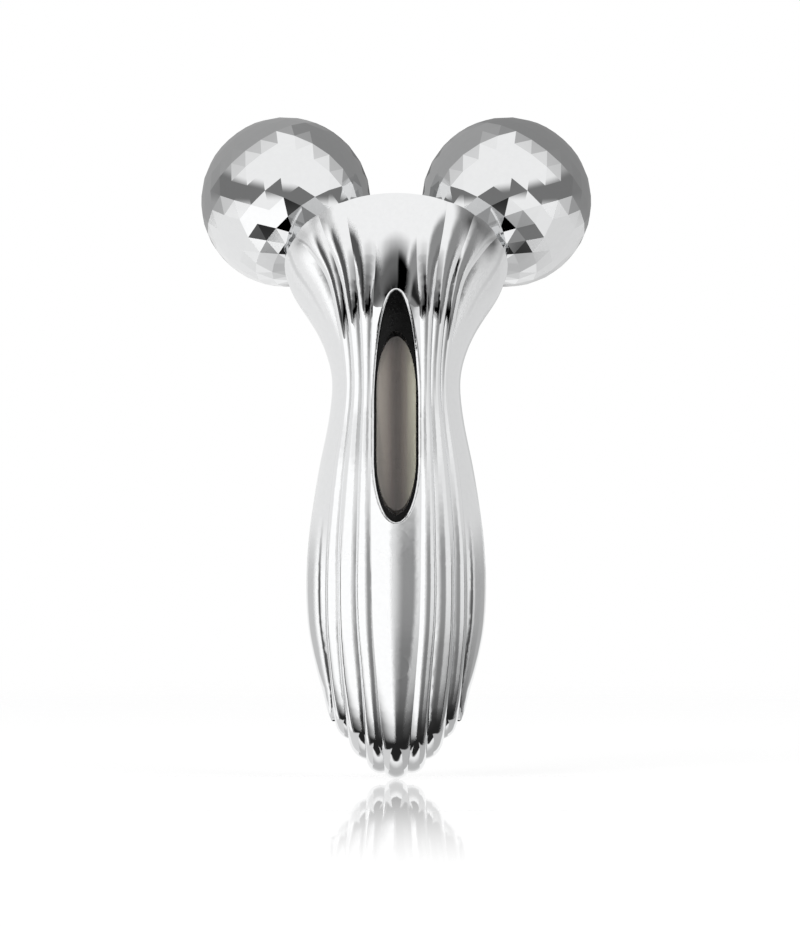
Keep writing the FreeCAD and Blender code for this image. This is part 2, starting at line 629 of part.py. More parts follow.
def axle_block():
    """A plug that fills the head's hollow under the lid, with a tail that lies behind the chassis."""
    plug = cavity_slice(BLOCK_TOP_DEPTH, BLOCK_TOP_DEPTH + BLOCK_DEPTH)
    tail = box(
        (-TAIL_HALF_WIDTH, TAIL_HALF_WIDTH),
        (FRAME_BACK, FRAME_BACK + TAIL_THICKNESS),
        (TAIL_FOOT_HEIGHT, FRAME_TOP_HEIGHT + BLOCK_DEPTH),
    )
    tail = tail.cut(above_plane(MOUTH_CENTRE - MOUTH_NORMAL * 2 * BLOCK_TOP_DEPTH, MOUTH_NORMAL))
    block = plug.fuse(tail.common(cavity(SHELL_WALL + BLOCK_WALL_GAP)))
    for side in (LEFT, RIGHT):
        block = block.cut(along_axle(side, AXLE_ROOT, 0, AXLE_RADIUS + FIT_CLEARANCE / 2))
        block = block.cut(along_axle(side, SEAL_FOOT, 0, SEAL_RADIUS + FIT_CLEARANCE))
        start, away = set_screw_line(side)
        block = block.cut(rod(start - away, away, SET_SCREW_DIAMETER / 2 + FIT_CLEARANCE, FAR))
    for height in BLOCK_SCREW_HEIGHTS:
        block = block.cut(rod(Vector(0, 0, height), ALONG_Y, BLOCK_SCREW_RADIUS + FIT_CLEARANCE, FAR))
        seat = Vector(0, FRAME_BACK + TAIL_THICKNESS, height)
        block = block.cut(rod(seat, ALONG_Y, BLOCK_SCREW_RADIUS * SCREW_HEAD_SPREAD + FIT_CLEARANCE, FAR))
    slot_half_width = TAIL_HALF_WIDTH + BLOCK_WALL_GAP
    frame_slot = box(
        (-slot_half_width, slot_half_width),
        (FRAME_FRONT - BLOCK_WALL_GAP, FRAME_BACK),
        (0, FRAME_TOP_HEIGHT + BLOCK_WALL_GAP),
    )
    tray_room = oval_bar(WINDOW, TRAY_BACK + BLOCK_WALL_GAP, FAR)
    lead_foot = Vector(LEAD_BESIDE_TAIL, TAIL_MIDDLE_DEPTH, TAIL_FOOT_HEIGHT - TAIL_THICKNESS)
    lead_groove = rod(lead_foot, UPWARD, LEAD_RADIUS + BLOCK_WALL_GAP / 2, TAIL_LAP)
    return block.cut(frame_slot).cut(tray_room).cut(lead_groove)


def axle_set_screws():
    screws = []
    for side in (LEFT, RIGHT):
        start, away = set_screw_line(side)
        grub = rod(start, away, SET_SCREW_DIAMETER / 2, SET_SCREW_LENGTH)
        socket_depth = SET_SCREW_LENGTH / 3
        far_end = start + away * (SET_SCREW_LENGTH - socket_depth)
        screws.append(grub.cut(rod(far_end, away, SET_SCREW_DIAMETER / 4, socket_depth)))
    return Part.makeCompound(screws)


# The window, its tray, the panel and the lens
def grown(oval, by):
    """An oval that lies the same distance outside another all round."""
    return Oval(
        oval.foot - by, oval.top + by, oval.foot_radius + by, oval.top_radius + by, oval.half_width + by
    )


def half_ellipse(height, toward, radius, half_width, depth):
    """The left, the far end and the right of an oval's end, as one edge."""
    centre = Vector(0, depth, height)
    ellipse = Part.Ellipse(centre + toward * radius, centre + ALONG_X * half_width, centre)
    return Part.ArcOfEllipse(ellipse, -math.pi / 2, math.pi / 2).toShape()


def oval_wire(oval, depth):
    upper = oval.top - oval.top_radius
    lower = oval.foot + oval.foot_radius
    edges = [
        half_ellipse(upper, UPWARD, oval.top_radius, oval.half_width, depth),
        half_ellipse(lower, UPWARD * -1, oval.foot_radius, oval.half_width, depth),
    ]
    for side in (LEFT, RIGHT):
        across = side * oval.half_width
        edges.append(Part.makeLine(Vector(across, depth, lower), Vector(across, depth, upper)))
    return Part.Wire(Part.__sortEdges__(edges))


def oval_bar(oval, start, length):
    """An upright oval bar through the window, running forwards from start."""
    return Part.Face(oval_wire(oval, start)).extrude(TOWARD_FRONT * length)


def panel_tray():
    """The tub that lines the window, with walls that slope from the opening in to the panel."""
    tray = oval_bar(grown(WINDOW, -TRAY_GAP), TRAY_BACK, FAR).common(fluted_half(FRONT, TRAY_SINK))
    seat = grown(PANEL, FIT_CLEARANCE)
    opening = grown(WINDOW, TRAY_WALL)._replace(half_width=seat.half_width + TRAY_GAP)
    walls = [oval_wire(seat, LENS_FRONT), oval_wire(opening, -MOUTH.reach)]
    tray = tray.cut(oval_bar(seat, PANEL_BACK, PANEL_BACK - LENS_FRONT))
    tray = tray.cut(Part.makeLoft(walls, True, True))
    for side in (LEFT, RIGHT):
        start = Vector(side * LEAD_HOLE_X, PANEL_BACK, LEAD_HOLE_HEIGHT)
        tray = tray.cut(rod(start, ALONG_Y, LEAD_RADIUS + 4 * FIT_CLEARANCE, TRAY_FLOOR))
    return tray


def solar_panel():
    return oval_bar(PANEL, PANEL_BACK, PANEL_THICKNESS)


def panel_lens():
    return oval_bar(PANEL, LENS_BACK, LENS_THICKNESS)


# The shells
def trimmed_half(side):
    """One half of the handle, a fine gap away from the seam, and cut off just under the lid."""
    half = fluted_half(side)
    half.translate(ALONG_Y * (side * SEAM_GAP / 2))
    return half.cut(above_plane(MOUTH_CENTRE - MOUTH_NORMAL * RIM_TRIM, MOUTH_NORMAL))


def outer_window_edges(shell, opening, outer):
    """The edges where the opening's wall meets the outside of the handle."""
    edges = []
    for edge in shell.Edges:
        middle = edge.valueAt((edge.FirstParameter + edge.LastParameter) / 2)
        on_wall = opening.isInside(middle, FIT_CLEARANCE / 10, True)
        if on_wall and not outer.isInside(middle, FIT_CLEARANCE / 10, False):
            edges.append(edge)
    return edges


def handle_front_shell():
    outer = trimmed_half(FRONT)
    shell = outer.cut(cavity(SHELL_WALL))
    for height in FRONT_POST_HEIGHTS:
        post = rod(Vector(0, -FAR, height), ALONG_Y, POST_RADIUS, FAR + FRAME_FRONT)
        shell = shell.fuse(post.common(outer.fuse(cavity(SHELL_WALL))))
    for height in FRONT_POST_HEIGHTS:
        depth = FRAME_SCREW_LENGTH + FRAME_SCREW_RADIUS
        pilot = rod(Vector(0, FRAME_BACK - depth, height), ALONG_Y, FRAME_SCREW_RADIUS + FIT_CLEARANCE, FAR)
        shell = shell.cut(pilot)
    opening = oval_bar(WINDOW, FRAME_FRONT, FAR)
    shell = shell.cut(opening)
    return shell.makeFillet(WINDOW_EDGE_ROUND, outer_window_edges(shell, opening, outer))


def handle_back_shell():
    outer = trimmed_half(BACK)
    shell = outer.cut(cavity(SHELL_WALL))
    for height in BACK_POST_HEIGHTS:
        post = rod(Vector(0, FRAME_BACK + FIT_CLEARANCE, height), ALONG_Y, POST_RADIUS, FAR)
        shell = shell.fuse(post.common(outer))
    return shell


# The chassis, the circuit board and what joins them
def inner_frame():
    thick = (FRAME_FRONT, FRAME_BACK)
    plate = box((-FRAME_HALF_WIDTH, FRAME_HALF_WIDTH), thick, (FRAME_FOOT_HEIGHT, FRAME_SHOULDER_HEIGHT))
    neck = box((-TAIL_HALF_WIDTH, TAIL_HALF_WIDTH), thick, (FRAME_SHOULDER_HEIGHT, FRAME_TOP_HEIGHT))
    frame = plate.fuse(neck)
    for x, height in BOARD_SCREW_PLACES:
        frame = frame.fuse(rod(Vector(x, BOARD_BACK, height), ALONG_Y, BOARD_SCREW_INSET, BOARD_STANDOFF))
    for x, height in BOARD_SCREW_PLACES:
        frame = frame.cut(rod(Vector(x, -FAR, height), ALONG_Y, BOARD_SCREW_RADIUS + FIT_CLEARANCE, 2 * FAR))
    for height in FRONT_POST_HEIGHTS + BLOCK_SCREW_HEIGHTS:
        hole = rod(Vector(0, -FAR, height), ALONG_Y, FRAME_SCREW_RADIUS + 2 * FIT_CLEARANCE, 2 * FAR)
        frame = frame.cut(hole)
    return frame.removeSplitter()


def frame_screws():
    return Part.makeCompound([
        screw(Vector(0, FRAME_BACK, height), TOWARD_FRONT, FRAME_SCREW_RADIUS, FRAME_SCREW_LENGTH)
        for height in FRONT_POST_HEIGHTS
    ])


def block_screws():
    seat = FRAME_BACK + TAIL_THICKNESS
    return Part.makeCompound([
        screw(Vector(0, seat, height), TOWARD_FRONT, BLOCK_SCREW_RADIUS, BLOCK_SCREW_LENGTH)
        for height in BLOCK_SCREW_HEIGHTS
    ])


def circuit_board():
    board = box(
        (-BOARD_HALF_WIDTH, BOARD_HALF_WIDTH), (BOARD_FACE, BOARD_BACK), (BOARD_FOOT_HEIGHT, BOARD_TOP_HEIGHT)
    )
    for x, height in BOARD_SCREW_PLACES:
        board = board.cut(rod(Vector(x, -FAR, height), ALONG_Y, BOARD_SCREW_RADIUS + FIT_CLEARANCE, 2 * FAR))
    return board


def board_screws():
    return Part.makeCompound([
        screw(Vector(x, BOARD_FACE, height), ALONG_Y, BOARD_SCREW_RADIUS, BOARD_THICKNESS + BOARD_STANDOFF)
        for x, height in BOARD_SCREW_PLACES
    ])


def board_components():
    """A chip between a pair of capacitors, on the board's front."""
    middle = (BOARD_FOOT_HEIGHT + BOARD_TOP_HEIGHT) / 2
    chip = box(
        (-CHIP_SIZE / 2, CHIP_SIZE / 2), (BOARD_FACE - CHIP_HEIGHT, BOARD_FACE), (middle, middle + CHIP_SIZE)
    )
    cans = [
        rod(Vector(side * CAN_FROM_MIDDLE, BOARD_FACE, middle), TOWARD_FRONT, CAN_RADIUS, CAN_HEIGHT)
        for side in (LEFT, RIGHT)
    ]
    return Part.makeCompound([chip] + cans)


def panel_leads():
    """Two wires, from the panel's back through the tray's floor and past the post to the board."""
    behind_tray = TRAY_BACK + 4 * LEAD_RADIUS
    before_board = BOARD_FACE - 3 * LEAD_RADIUS
    beside_post = POST_RADIUS + 3 * LEAD_RADIUS
    over_post = FRONT_POST_HEIGHTS[1] + 1.2 * POST_RADIUS
    under_post = FRONT_POST_HEIGHTS[1] - 1.2 * POST_RADIUS
    wires = []
    for side in (LEFT, RIGHT):
        wires.append(lead([
            Vector(side * LEAD_HOLE_X, PANEL_BACK, LEAD_HOLE_HEIGHT),
            Vector(side * LEAD_HOLE_X, behind_tray, LEAD_HOLE_HEIGHT),
            Vector(side * beside_post, behind_tray, over_post),
            Vector(side * beside_post, before_board, under_post),
            Vector(side * POST_RADIUS, LEAD_ON_BOARD, BOARD_TOP_HEIGHT - POST_RADIUS),
        ]))
    return Part.makeCompound(wires)


def axle_lead():
    """The wire from the board, out past the chassis's edge and up to the side of the block's tail."""
    beside_frame = FRAME_HALF_WIDTH + 1.6 * LEAD_RADIUS
    start_height = BOARD_TOP_HEIGHT - 2 * POST_RADIUS
    return lead([
        Vector(BOARD_HALF_WIDTH / 2, LEAD_ON_BOARD, start_height),
        Vector(beside_frame, LEAD_ON_BOARD, start_height),
        Vector(beside_frame, FRAME_FRONT, FRAME_SHOULDER_HEIGHT + FRAME_EDGE),
        Vector(LEAD_BESIDE_TAIL, TAIL_MIDDLE_DEPTH, TAIL_FOOT_HEIGHT - TAIL_THICKNESS),
        Vector(LEAD_BESIDE_TAIL, TAIL_MIDDLE_DEPTH, TAIL_MIDDLE_HEIGHT),
    ])


def front_reach(height):
    """How far the front crest stands out at a height below the neck."""
    for upper, lower in zip(HANDLE_STATIONS, HANDLE_STATIONS[1:]):
        if lower.height <= height <= upper.height:
            share = (height - lower.height) / (upper.height - lower.height)
            return lower.reach + share * (upper.reach - lower.reach)


def shell_contact():
    """A spring strip soldered to the board, whose free end bears on the plated shell."""
    foot = BOARD_FOOT_HEIGHT + CONTACT_THICKNESS
    top = foot + CONTACT_FOOT
    slant = 4 * CONTACT_THICKNESS
    on_board = BOARD_FACE - CONTACT_THICKNESS
    on_shell = CONTACT_GAP + SHELL_WALL - min(front_reach(top), front_reach(top - slant))
    outline = [
        (BOARD_FACE, top),
        (BOARD_FACE, foot),
        (on_board, foot),
        (on_shell, top - slant),
        (on_shell, top),
        (on_board, foot + slant),
        (on_board, top),
    ]
    corners = [Vector(-CONTACT_WIDTH / 2, y, z) for y, z in outline]
    return Part.Face(Part.makePolygon(corners + corners[:1])).extrude(ALONG_X * CONTACT_WIDTH)


def build():
    """Every piece by its name."""
    pieces = {
        "handle_front_shell": handle_front_shell(),
        "handle_back_shell": handle_back_shell(),
        "head_cover": head_cover(),
        "cover_gasket": cover_gasket(),
        "axle_block": axle_block(),
        "axle_set_screws": axle_set_screws(),
        "panel_tray": panel_tray(),
        "solar_panel": solar_panel(),
        "panel_lens": panel_lens(),
        "inner_frame": inner_frame(),
        "frame_screws": frame_screws(),
        "block_screws": block_screws(),
        "circuit_board": circuit_board(),
        "board_components": board_components(),
        "board_screws": board_screws(),
        "panel_leads": panel_leads(),
        "axle_lead": axle_lead(),
        "shell_contact": shell_contact(),
    }
    for word, side in (("left", LEFT), ("right", RIGHT)):
        pieces[word + "_axle"] = axle(side)
        pieces[word + "_axle_collar"] = axle_collar(side)
        pieces[word + "_axle_seal"] = axle_seal(side)
        pieces[word + "_stop_ring"] = stop_ring(side)
        pieces[word + "_ball_shell"] = ball_shell(side)
        pieces[word + "_ball_core"] = ball_core(side)
        pieces[word + "_ball_bearing"] = ball_bearing(side)
    return pieces


os.makedirs("parts", exist_ok=True)
for name, shape in build().items():
    shape.exportStep("parts/" + name + ".step")
    print(name, len(shape.Solids), shape.isValid(), round(shape.Volume, 1), shape.BoundBox)
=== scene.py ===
import math

import bmesh
import bpy
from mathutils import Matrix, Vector

# A chrome facial roller: the CAD model dressed with plated, rubber, glass and plastic finishes,
# standing on its tip on a pale glossy floor, under soft studio light. Metres.

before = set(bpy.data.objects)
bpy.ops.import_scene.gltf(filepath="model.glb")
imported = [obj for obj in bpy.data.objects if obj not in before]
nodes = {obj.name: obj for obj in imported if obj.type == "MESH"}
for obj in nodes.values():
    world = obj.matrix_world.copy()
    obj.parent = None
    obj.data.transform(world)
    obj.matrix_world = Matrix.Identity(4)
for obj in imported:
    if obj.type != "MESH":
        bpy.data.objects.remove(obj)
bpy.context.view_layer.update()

MM = 0.001
PANEL_HALF_WIDTH = 4.64 * MM
BUMP_DEPTH = 0.02 * MM

# The camera: level with the middle of the handle, straight in front
IMAGE_HEIGHT = 926
CAMERA_DISTANCE = 1.5
CAMERA_X = 0.9 * MM
CAMERA_HEIGHT = 74.8 * MM
MM_PER_PIXEL = 0.2367
SENSOR = 36.0

# The studio stands close round the object. Azimuth 0 is the camera's side and grows to the right.
WALL_RADIUS = 0.14
WALL_FOOT = -0.22
WALL_TOP = 0.122
BACK_WALL_TOP = 0.9
BALL_BAND_INSET = 0.065
NECK_FLAG_HEIGHT = 0.06
DISH_FOOT = 0.045
DISH_LEAN = 0.09
FAR_SIDE = 0.14
HARD = 0.001

# The table under the floor: pale cards, with a ring of painted floor shadow round the tip whose edge lies on
# a plane that climbs towards the back
SHADOW_RING_SLANT = -0.105
TABLE_SLOPE = 1.0
TABLE_TOP_HEIGHT = 0.05
FRONT_SHADOW_LINE = -0.060
TABLE_BACK = 0.45
ANY_SLANT = 1

# The floor and the light
FLOOR_RADIUS = 0.7
FLOOR_WHITE = 0.3
FLOOR_GLOW = 0.8
SHEEN_START = -0.40
SHEEN_END = 0.02
SHEEN_FADE = 0.01
SHEEN_HALF_WIDTH = 0.075
SHEEN_SIDE_FADE = 0.025
SHEEN_IOR = 1.7
SHEEN_POWER = 3
SHEEN_STRENGTH = 1.6
SHEEN_ROUGHNESS = 0.02
WORLD_LIGHT = 0.4
LAMP_AIM = Vector((0, 0, 0.08))
LAMP_SIZE = 0.8


def new_object(name, mesh):
    thing = bpy.data.objects.new(name, mesh)
    bpy.context.scene.collection.objects.link(thing)
    return thing


def new_material(name):
    material = bpy.data.materials.new(name)
    material.use_nodes = True
    return material, material.node_tree.nodes, material.node_tree.links


def noise(tree, links, scale, detail):
    """A noise pattern on object coordinates."""
    where = tree.new("ShaderNodeTexCoord")
    pattern = tree.new("ShaderNodeTexNoise")
    pattern.inputs["Scale"].default_value = scale
    pattern.inputs["Detail"].default_value = detail
    links.new(where.outputs["Object"], pattern.inputs["Vector"])
    return pattern.outputs["Fac"]


def ramp(tree, links, source, stops):
    """A colour ramp through (position, colour) stops."""
    made = tree.new("ShaderNodeValToRGB")
    elements = made.color_ramp.elements
    while len(elements) < len(stops):
        elements.new(0.5)
    for element, (position, colour) in zip(elements, stops):
        element.position = position
        element.color = (*colour, 1)
    links.new(source, made.inputs["Fac"])
    return made.outputs["Color"]


def spread(tree, links, source, low, high):
    """The source's 0 to 1 laid out from low to high."""
    made = tree.new("ShaderNodeMapRange")
    made.inputs["To Min"].default_value = low
    made.inputs["To Max"].default_value = high
    links.new(source, made.inputs["Value"])
    return made.outputs["Result"]


def finish(name, dark, light, grain, detail, rough, metallic=0.0, bump=0.0, **sockets):
    """A finish whose colour, roughness and bump follow one fine noise."""
    material, tree, links = new_material(name)
    shader = tree["Principled BSDF"]
    pattern = noise(tree, links, grain, detail)
    links.new(ramp(tree, links, pattern, [(0.3, dark), (0.7, light)]), shader.inputs["Base Color"])
    links.new(spread(tree, links, pattern, *rough), shader.inputs["Roughness"])
    shader.inputs["Metallic"].default_value = metallic
    for socket, value in sockets.items():
        shader.inputs[socket.replace("_", " ")].default_value = value
    if bump:
        relief = tree.new("ShaderNodeBump")
        relief.inputs["Strength"].default_value = bump
        relief.inputs["Distance"].default_value = BUMP_DEPTH
        links.new(pattern, relief.inputs["Height"])
        links.new(relief.outputs["Normal"], shader.inputs["Normal"])
    return material


def dress(material, *names):
    for name in names:
        slots = nodes[name].data.materials
        slots.clear()
        slots.append(material)


# Finishes
chrome = finish(
    "plated_chrome", (0.81, 0.815, 0.82), (0.83, 0.835, 0.84),
    grain=900, detail=3, rough=(0.01, 0.02), metallic=1.0,
)
steel = finish(
    "turned_steel", (0.50, 0.50, 0.51), (0.62, 0.62, 0.63),
    grain=1500, detail=2, rough=(0.2, 0.35), metallic=1.0, bump=0.2,
)
casting = finish(
    "cast_block", (0.52, 0.52, 0.54), (0.62, 0.62, 0.64),
    grain=2500, detail=4, rough=(0.4, 0.6), metallic=1.0, bump=0.5,
)
brass = finish(
    "rolled_brass", (0.62, 0.47, 0.20), (0.72, 0.57, 0.27),
    grain=1800, detail=2, rough=(0.25, 0.4), metallic=1.0, bump=0.2,
)
black = finish(
    "tray_black", (0.002, 0.002, 0.002), (0.005, 0.005, 0.005),
    grain=1200, detail=3, rough=(0.15, 0.25), Specular_IOR_Level=0.12,
)
rubber = finish(
    "seal_rubber", (0.02, 0.02, 0.02), (0.04, 0.04, 0.04),
    grain=3000, detail=4, rough=(0.6, 0.8), bump=0.5,
)
core = finish(
    "core_plastic", (0.70, 0.70, 0.68), (0.78, 0.78, 0.76),
    grain=2000, detail=3, rough=(0.4, 0.55), bump=0.3,
)
bush = finish(
    "bearing_plastic", (0.80, 0.79, 0.75), (0.87, 0.86, 0.82),
    grain=2000, detail=3, rough=(0.3, 0.45), bump=0.3,
)
chassis = finish(
    "frame_plastic", (0.10, 0.10, 0.11), (0.14, 0.14, 0.15),
    grain=2500, detail=3, rough=(0.45, 0.6), bump=0.4,
)
board = finish(
    "board_green", (0.03, 0.16, 0.06), (0.06, 0.25, 0.10),
    grain=700, detail=5, rough=(0.3, 0.45), bump=0.3,
)
moulding = finish(
    "component_black", (0.03, 0.03, 0.03), (0.05, 0.05, 0.05),
    grain=3000, detail=3, rough=(0.4, 0.6), bump=0.4,
)
sleeve = finish(
    "lead_sleeve", (0.42, 0.03, 0.03), (0.55, 0.06, 0.05),
    grain=2000, detail=2, rough=(0.35, 0.5), bump=0.2,
)


def panel_finish():
    """Brown cell, darker along the middle, paler to the sides."""
    material, tree, links = new_material("panel_cell")
    shader = tree["Principled BSDF"]
    where = tree.new("ShaderNodeTexCoord")
    split = tree.new("ShaderNodeSeparateXYZ")
    links.new(where.outputs["Object"], split.inputs["Vector"])
    across = tree.new("ShaderNodeMapRange")
    across.inputs["From Min"].default_value = -PANEL_HALF_WIDTH
    across.inputs["From Max"].default_value = PANEL_HALF_WIDTH
    links.new(split.outputs["X"], across.inputs["Value"])
    stops = [
        (0.0, (0.270, 0.245, 0.215)),
        (0.25, (0.165, 0.142, 0.121)),
        (0.4, (0.064, 0.050, 0.042)),
        (0.5, (0.038, 0.028, 0.023)),
        (0.6, (0.048, 0.036, 0.029)),
        (0.75, (0.130, 0.112, 0.090)),
        (0.9, (0.320, 0.305, 0.240)),
        (1.0, (0.450, 0.440, 0.340)),
    ]
    links.new(ramp(tree, links, across.outputs["Result"], stops), shader.inputs["Base Color"])
    pattern = noise(tree, links, 2000, 2)
    links.new(spread(tree, links, pattern, 0.3, 0.42), shader.inputs["Roughness"])
    shader.inputs["Specular IOR Level"].default_value = 0.05
    return material


def lens_finish():
    """Clear, with a gloss that varies very slightly."""
    material, tree, links = new_material("clear_lens")
    shader = tree["Principled BSDF"]
    shader.inputs["Base Color"].default_value = (0.95, 0.95, 0.95, 1)
    shader.inputs["Transmission Weight"].default_value = 1.0
    shader.inputs["IOR"].default_value = 1.49
    pattern = noise(tree, links, 1500, 2)
    links.new(spread(tree, links, pattern, 0.0, 0.02), shader.inputs["Roughness"])
    return material


dress(
    chrome, "handle_front_shell", "handle_back_shell", "head_cover", "left_ball_shell", "right_ball_shell",
    "left_axle_collar", "right_axle_collar",
)
dress(
    steel, "left_axle", "right_axle", "left_stop_ring", "right_stop_ring", "axle_set_screws", "frame_screws",
    "block_screws", "board_screws",
)
dress(casting, "axle_block")
dress(brass, "shell_contact")
dress(black, "panel_tray")
dress(rubber, "cover_gasket", "left_axle_seal", "right_axle_seal")
dress(core, "left_ball_core", "right_ball_core")
dress(bush, "left_ball_bearing", "right_ball_bearing")
dress(chassis, "inner_frame")
dress(board, "circuit_board")
dress(moulding, "board_components")
dress(sleeve, "panel_leads", "axle_lead")
dress(panel_finish(), "solar_panel")
dress(lens_finish(), "panel_lens")

# Light reaches the panel through the lens
nodes["panel_lens"].visible_shadow = False


# The studio
def smooth_step(tree, links, source, start, end):
    """0 at start and 1 at end, eased."""
    made = tree.new("ShaderNodeMapRange")
    made.interpolation_type = "SMOOTHSTEP"
    made.inputs["From Min"].default_value = start
    made.inputs["From Max"].default_value = end
    links.new(source, made.inputs["Value"])
    return made.outputs["Result"]


def multiply(tree, links, first, second):
    made = tree.new("ShaderNodeMath")
    made.operation = "MULTIPLY"
    links.new(first, made.inputs[0])
    links.new(second, made.inputs[1])
    return made.outputs["Value"]


def soft_light(name, level, masks):
    """Light of one level, let through where every mask is open, and clear from behind."""
    material, tree, links = new_material(name)
    tree.remove(tree["Principled BSDF"])
    light = tree.new("ShaderNodeEmission")
    light.inputs["Strength"].default_value = level
    clear = tree.new("ShaderNodeBsdfTransparent")
    mix = tree.new("ShaderNodeMixShader")
    side = tree.new("ShaderNodeNewGeometry")
    open_share = smooth_step(tree, links, side.outputs["Backfacing"], 1, 0)
    for mask in masks(tree, links):
        open_share = multiply(tree, links, open_share, mask)
    links.new(open_share, mix.inputs["Fac"])
    links.new(clear.outputs["BSDF"], mix.inputs[1])
    links.new(light.outputs["Emission"], mix.inputs[2])
    links.new(mix.outputs["Shader"], tree["Material Output"].inputs["Surface"])
    return material


def only_in_reflections(name, made, material):
    """A studio card that shows in glossy surfaces and nowhere else."""
    mesh = bpy.data.meshes.new(name)
    made.to_mesh(mesh)
    made.free()
    mesh.materials.append(material)
    thing = new_object(name, mesh)
    thing.visible_camera = False
    thing.visible_diffuse = False
    thing.visible_shadow = False
    thing.visible_transmission = False


def swept(first, last, start, end):
    """The surface that a line from start to end, as (radius, height), sweeps between two azimuths."""
    made = bmesh.new()
    turn = math.radians(first)
    ends = [made.verts.new((r * math.sin(turn), -r * math.cos(turn), z)) for r, z in (start, end)]
    edge = made.edges.new(ends)
    steps = max(4, int((last - first) / 3))
    bmesh.ops.spin(
        made, geom=[*ends, edge], axis=(0, 0, 1), cent=(0, 0, 0),
        angle=math.radians(last - first), steps=steps, use_duplicate=False,
    )
    return made


def polar(tree, links, first, last):
    """Object coordinates as the azimuth from the middle of two azimuths, and the height."""
    where = tree.new("ShaderNodeTexCoord")
    turned = tree.new("ShaderNodeVectorRotate")
    turned.rotation_type = "Z_AXIS"
    turned.inputs["Angle"].default_value = -math.radians((first + last) / 2)
    links.new(where.outputs["Object"], turned.inputs["Vector"])
    split = tree.new("ShaderNodeSeparateXYZ")
    links.new(turned.outputs["Vector"], split.inputs["Vector"])
    forward = tree.new("ShaderNodeMath")
    forward.operation = "MULTIPLY"
    forward.inputs[1].default_value = -1
    links.new(split.outputs["Y"], forward.inputs[0])
    azimuth = tree.new("ShaderNodeMath")
    azimuth.operation = "ARCTAN2"
    links.new(split.outputs["X"], azimuth.inputs[0])
    links.new(forward.outputs["Value"], azimuth.inputs[1])
    return azimuth.outputs["Value"], split.outputs["Z"]


def distance_from_axis(tree, links):
    """How far from the object's upright axis."""
    where = tree.new("ShaderNodeTexCoord")
    flat = tree.new("ShaderNodeVectorMath")
    flat.operation = "MULTIPLY"
    flat.inputs[1].default_value = (1, 1, 0)
    links.new(where.outputs["Object"], flat.inputs[0])
    radius = tree.new("ShaderNodeVectorMath")
    radius.operation = "LENGTH"
    links.new(flat.outputs["Vector"], radius.inputs[0])
    return radius.outputs["Value"]


def sector_masks(tree, links, azimuths, soft):
    """Masks that open between two azimuths in degrees, with the height."""
    first, last = azimuths
    azimuth, height = polar(tree, links, first, last)
    half = math.radians(last - first) / 2
    opening = smooth_step(tree, links, azimuth, -half, math.radians(soft[0]) - half)
    closing = smooth_step(tree, links, azimuth, half, half - math.radians(soft[1]))
    return [opening, closing], height


def slant(tree, links):
    """How far above a plane that climbs towards the back at the table's slope."""
    where = tree.new("ShaderNodeTexCoord")
    made = tree.new("ShaderNodeVectorMath")
    made.operation = "DOT_PRODUCT"
    made.inputs[1].default_value = (0, -TABLE_SLOPE, 1)
    links.new(where.outputs["Object"], made.inputs[0])
    return made.outputs["Value"]


def wall(
    name, azimuths, level, soft, heights=(WALL_FOOT, WALL_TOP), soft_heights=(0.01, 0.012), nearer=0,
    slants=(-ANY_SLANT, ANY_SLANT), soft_slants=(0.01, 0.01), lean=0,
):
    """A curved studio wall between two azimuths in degrees, two heights and two slants, with soft edges.

    Its foot stands nearer than its top by the lean.
    """
    low, high = heights

    def masks(tree, links):
        sides, height = sector_masks(tree, links, azimuths, soft)
        climb = slant(tree, links)
        return [
            *sides,
            smooth_step(tree, links, height, low, low + soft_heights[0]),
            smooth_step(tree, links, height, high, high - soft_heights[1]),
            smooth_step(tree, links, climb, slants[0], slants[0] + soft_slants[0]),
            smooth_step(tree, links, climb, slants[1], slants[1] - soft_slants[1]),
        ]

    away = WALL_RADIUS - nearer
    made = swept(*azimuths, (away - lean, low), (away, high))
    only_in_reflections(name, made, soft_light(name, level, masks))


def level_card(name, height, level, across, soft_across, ahead, soft_ahead):
    """A level card, seen from above, between two x and two y, with soft edges."""

    def masks(tree, links):
        where = tree.new("ShaderNodeTexCoord")
        split = tree.new("ShaderNodeSeparateXYZ")
        links.new(where.outputs["Object"], split.inputs["Vector"])
        edges = []
        for axis, (low, high), soft in (("X", across, soft_across), ("Y", ahead, soft_ahead)):
            edges.append(smooth_step(tree, links, split.outputs[axis], low, low + soft[0]))
            edges.append(smooth_step(tree, links, split.outputs[axis], high, high - soft[1]))
        return edges

    made = bmesh.new()
    bmesh.ops.create_grid(made, x_segments=1, y_segments=1, size=0.5)
    bmesh.ops.scale(made, vec=(across[1] - across[0], ahead[1] - ahead[0], 1), verts=made.verts)
    bmesh.ops.translate(
        made, vec=((across[0] + across[1]) / 2, (ahead[0] + ahead[1]) / 2, height), verts=made.verts,
    )
    only_in_reflections(name, made, soft_light(name, level, masks))


# Light and dark strips all round, from under the floor to just over the head
wall("left_softbox", (-118, -8), 1.2, (16, 9))
wall("right_softbox", (-14, 102), 0.92, (8, 8))
wall("right_front_shade", (-12, 50), 0.34, (30, 14), (WALL_FOOT, 0.115), (0.01, 0.05), nearer=0.002)
wall("left_dark_line", (-98, -86), 0.12, (5, 5), nearer=0.002)
wall("right_dark_line", (83, 95), 0.12, (5, 5), nearer=0.002)
wall("right_shade", (-12, 125), 0.05, (14, 10), (WALL_FOOT, 0.06), (0.01, 0.20), nearer=0.004)

